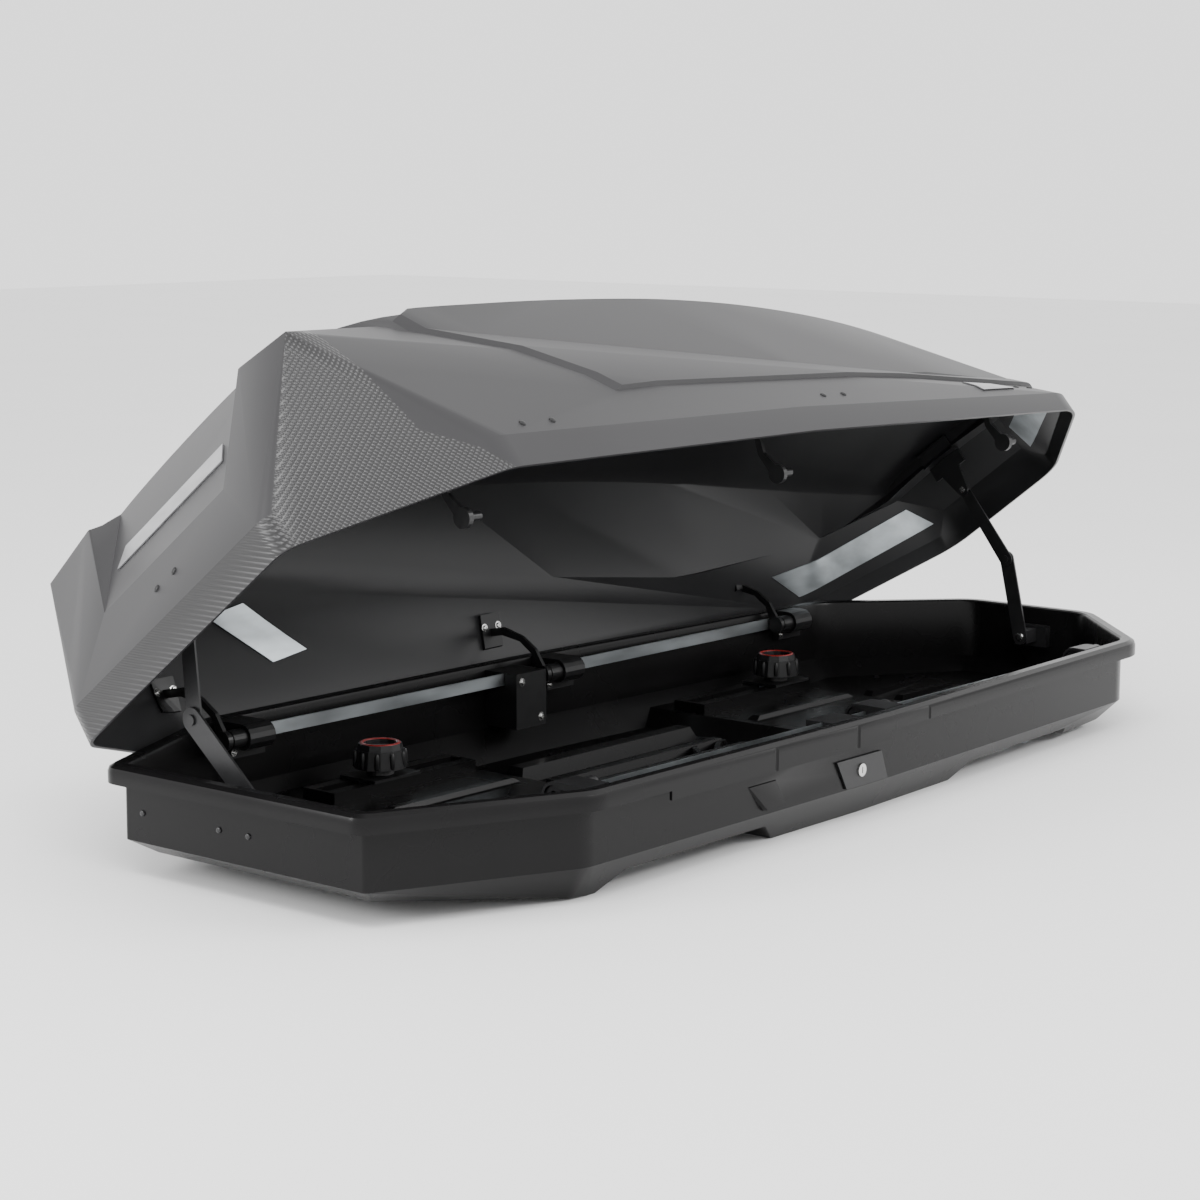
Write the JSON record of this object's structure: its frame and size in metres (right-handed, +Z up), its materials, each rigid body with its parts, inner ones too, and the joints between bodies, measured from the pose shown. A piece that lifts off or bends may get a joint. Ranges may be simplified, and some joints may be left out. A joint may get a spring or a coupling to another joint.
{
  "type": "roof cargo box",
  "caption": "Long car roof box, its lid open on one long side: tapered tray, faceted lid, hinge and latch units on both sides, folding lid lifters and roof-bar clamps.",
  "frame": {"origin": "on the flat underside of the tray's middle, on the centre plane, half way along the tray", "axes": "+X along the length towards the tapered nose, +Y to the far long side on which the lid is hinged at rest, +Z up"},
  "size_m": [1.898, 0.8016, 0.7045],
  "materials": {
    "lid_abs": "dark grey ABS sheet, satin gloss, woven-look embossed corner fields",
    "tray_abs": "dark grey ABS sheet with a fine leather grain",
    "black_nylon": "black glass-filled nylon",
    "galvanised_steel": "galvanised strip",
    "coated_steel": "dark coated pressed steel",
    "lock_metal": "bright lock cylinder",
    "name_plate": "blank metallic name plate"
  },
  "bodies": {
    "tray_body": {"tray": "tray_abs", "far_housing_rear": "black_nylon", "far_housing_mid": "black_nylon", "far_housing_front": "black_nylon", "near_housing_rear": "black_nylon", "near_housing_mid": "black_nylon", "near_housing_front": "black_nylon", "far_lock_case": "black_nylon", "far_escutcheon": "black_nylon", "near_lock_case": "black_nylon", "near_escutcheon": "black_nylon", "rear_lifter_tray_bracket": "coated_steel", "front_lifter_tray_bracket": "coated_steel"},
    "lid_body": {"lid": "lid_abs", "lid_badge": "name_plate", "lid_rear_plate": "name_plate", "far_bracket_rear": "black_nylon", "far_bracket_mid": "black_nylon", "far_bracket_front": "black_nylon", "near_bracket_rear": "black_nylon", "near_bracket_mid": "black_nylon", "near_bracket_front": "black_nylon", "rear_lifter_lid_bracket": "coated_steel", "front_lifter_lid_bracket": "coated_steel"},
    "far_latch": {"far_bar": "galvanised_steel", "far_sleeve_rear": "black_nylon", "far_sleeve_mid": "black_nylon", "far_sleeve_front": "black_nylon"},
    "near_latch": {"near_bar": "galvanised_steel", "near_sleeve_rear": "black_nylon", "near_sleeve_mid": "black_nylon", "near_sleeve_front": "black_nylon"},
    "far_key": {"far_key_plug": "lock_metal"},
    "near_key": {"near_key_plug": "lock_metal"},
    "rear_lower": {"rear_lifter_lower_arm": "coated_steel"},
    "rear_upper": {"rear_lifter_upper_arm": "coated_steel"},
    "front_lower": {"front_lifter_lower_arm": "coated_steel"},
    "front_upper": {"front_lifter_upper_arm": "coated_steel"},
    "clamp_rf_base": {"clamp_rf_carriage": "black_nylon"},
    "clamp_rf_screw": {"clamp_rf_knob": "black_nylon", "clamp_rf_spindle": "galvanised_steel"},
    "clamp_rf_jaw_a": {"clamp_rf_claw_a": "galvanised_steel"},
    "clamp_rf_jaw_b": {"clamp_rf_claw_b": "galvanised_steel"},
    "clamp_rn_base": {"clamp_rn_carriage": "black_nylon"},
    "clamp_rn_screw": {"clamp_rn_knob": "black_nylon", "clamp_rn_spindle": "galvanised_steel"},
    "clamp_rn_jaw_a": {"clamp_rn_claw_a": "galvanised_steel"},
    "clamp_rn_jaw_b": {"clamp_rn_claw_b": "galvanised_steel"},
    "clamp_ff_base": {"clamp_ff_carriage": "black_nylon"},
    "clamp_ff_screw": {"clamp_ff_knob": "black_nylon", "clamp_ff_spindle": "galvanised_steel"},
    "clamp_ff_jaw_a": {"clamp_ff_claw_a": "galvanised_steel"},
    "clamp_ff_jaw_b": {"clamp_ff_claw_b": "galvanised_steel"},
    "clamp_fn_base": {"clamp_fn_carriage": "black_nylon"},
    "clamp_fn_screw": {"clamp_fn_knob": "black_nylon", "clamp_fn_spindle": "galvanised_steel"},
    "clamp_fn_jaw_a": {"clamp_fn_claw_a": "galvanised_steel"},
    "clamp_fn_jaw_b": {"clamp_fn_claw_b": "galvanised_steel"}
  },
  "joints": [
    {"name": "lid_hinge", "type": "hinge", "parent": "tray_body", "child": "lid_body", "pos_m": [0, 0.272, 0.128], "axis": [-1, 0, 0], "range_deg": [-37.9, 0]},
    {"name": "far_latch_slide", "type": "slide", "parent": "tray_body", "child": "far_latch", "axis": [1, 0, 0], "range_m": [0, 0.028]},
    {"name": "near_latch_slide", "type": "slide", "parent": "tray_body", "child": "near_latch", "axis": [-1, 0, 0], "range_m": [0, 0.028]},
    {"name": "far_key_turn", "type": "hinge", "parent": "tray_body", "child": "far_key", "pos_m": [-0.075, 0.329, 0.072], "axis": [0, 1, 0], "range_deg": [0, 90]},
    {"name": "near_key_turn", "type": "hinge", "parent": "tray_body", "child": "near_key", "pos_m": [-0.075, -0.329, 0.072], "axis": [0, -1, 0], "range_deg": [0, 90]},
    {"name": "rear_lower_turn", "type": "hinge", "parent": "tray_body", "child": "rear_lower", "pos_m": [-0.884, -0.01, 0.094], "axis": [1, 0, 0], "range_deg": [-24.36, 0]},
    {"name": "rear_upper_turn", "type": "hinge", "parent": "lid_body", "child": "rear_upper", "pos_m": [-0.884, 0.13845, 0.39925], "axis": [1, 0, 0], "range_deg": [0, 20.38]},
    {"name": "front_lower_turn", "type": "hinge", "parent": "tray_body", "child": "front_lower", "pos_m": [0.868, -0.02, 0.101], "axis": [1, 0, 0], "range_deg": [0, 74.83]},
    {"name": "front_upper_turn", "type": "hinge", "parent": "lid_body", "child": "front_upper", "pos_m": [0.868, 0.09545, 0.34401], "axis": [1, 0, 0], "range_deg": [-80.11, 0]},
    {"name": "clamp_rf_slide", "type": "slide", "parent": "tray_body", "child": "clamp_rf_base", "axis": [1, 0, 0], "range_m": [-0.072, 0.115]},
    {"name": "clamp_rf_turn", "type": "hinge", "parent": "clamp_rf_base", "child": "clamp_rf_screw", "pos_m": [-0.44, 0.225, 0.046], "axis": [0, 0, -1], "range_deg": [0, 720]},
    {"name": "clamp_rf_jaw_a_slide", "type": "slide", "parent": "clamp_rf_base", "child": "clamp_rf_jaw_a", "axis": [-1, 0, 0], "range_m": [0, 0.012]},
    {"name": "clamp_rf_jaw_b_slide", "type": "slide", "parent": "clamp_rf_base", "child": "clamp_rf_jaw_b", "axis": [1, 0, 0], "range_m": [0, 0.012]},
    {"name": "clamp_rn_slide", "type": "slide", "parent": "tray_body", "child": "clamp_rn_base", "axis": [1, 0, 0], "range_m": [-0.072, 0.115]},
    {"name": "clamp_rn_turn", "type": "hinge", "parent": "clamp_rn_base", "child": "clamp_rn_screw", "pos_m": [-0.44, -0.225, 0.046], "axis": [0, 0, -1], "range_deg": [0, 720]},
    {"name": "clamp_rn_jaw_a_slide", "type": "slide", "parent": "clamp_rn_base", "child": "clamp_rn_jaw_a", "axis": [-1, 0, 0], "range_m": [0, 0.012]},
    {"name": "clamp_rn_jaw_b_slide", "type": "slide", "parent": "clamp_rn_base", "child": "clamp_rn_jaw_b", "axis": [1, 0, 0], "range_m": [0, 0.012]},
    {"name": "clamp_ff_slide", "type": "slide", "parent": "tray_body", "child": "clamp_ff_base", "axis": [1, 0, 0], "range_m": [-0.18, 0.008]},
    {"name": "clamp_ff_turn", "type": "hinge", "parent": "clamp_ff_base", "child": "clamp_ff_screw", "pos_m": [0.5, 0.225, 0.046], "axis": [0, 0, -1], "range_deg": [0, 720]},
    {"name": "clamp_ff_jaw_a_slide", "type": "slide", "parent": "clamp_ff_base", "child": "clamp_ff_jaw_a", "axis": [-1, 0, 0], "range_m": [0, 0.012]},
    {"name": "clamp_ff_jaw_b_slide", "type": "slide", "parent": "clamp_ff_base", "child": "clamp_ff_jaw_b", "axis": [1, 0, 0], "range_m": [0, 0.012]},
    {"name": "clamp_fn_slide", "type": "slide", "parent": "tray_body", "child": "clamp_fn_base", "axis": [1, 0, 0], "range_m": [-0.18, 0.008]},
    {"name": "clamp_fn_turn", "type": "hinge", "parent": "clamp_fn_base", "child": "clamp_fn_screw", "pos_m": [0.5, -0.225, 0.046], "axis": [0, 0, -1], "range_deg": [0, 720]},
    {"name": "clamp_fn_jaw_a_slide", "type": "slide", "parent": "clamp_fn_base", "child": "clamp_fn_jaw_a", "axis": [-1, 0, 0], "range_m": [0, 0.012]},
    {"name": "clamp_fn_jaw_b_slide", "type": "slide", "parent": "clamp_fn_base", "child": "clamp_fn_jaw_b", "axis": [1, 0, 0], "range_m": [0, 0.012]}
  ],
  "couplings": [
    {"joint": "far_key_turn", "follows": "far_latch_slide", "rad_per_m": 56},
    {"joint": "near_key_turn", "follows": "near_latch_slide", "rad_per_m": 56},
    {"joint": "rear_lower_turn", "follows": "lid_hinge", "ratio": 0.6413},
    {"joint": "rear_upper_turn", "follows": "lid_hinge", "ratio": -0.5364},
    {"joint": "front_lower_turn", "follows": "lid_hinge", "ratio": -1.9731},
    {"joint": "front_upper_turn", "follows": "lid_hinge", "ratio": 2.1125},
    {"joint": "clamp_rf_jaw_a_slide", "follows": "clamp_rf_turn", "m_per_rad": 0.00095},
    {"joint": "clamp_rf_jaw_b_slide", "follows": "clamp_rf_turn", "m_per_rad": 0.00095},
    {"joint": "clamp_rn_jaw_a_slide", "follows": "clamp_rn_turn", "m_per_rad": 0.00095},
    {"joint": "clamp_rn_jaw_b_slide", "follows": "clamp_rn_turn", "m_per_rad": 0.00095},
    {"joint": "clamp_ff_jaw_a_slide", "follows": "clamp_ff_turn", "m_per_rad": 0.00095},
    {"joint": "clamp_ff_jaw_b_slide", "follows": "clamp_ff_turn", "m_per_rad": 0.00095},
    {"joint": "clamp_fn_jaw_a_slide", "follows": "clamp_fn_turn", "m_per_rad": 0.00095},
    {"joint": "clamp_fn_jaw_b_slide", "follows": "clamp_fn_turn", "m_per_rad": 0.00095}
  ]
}
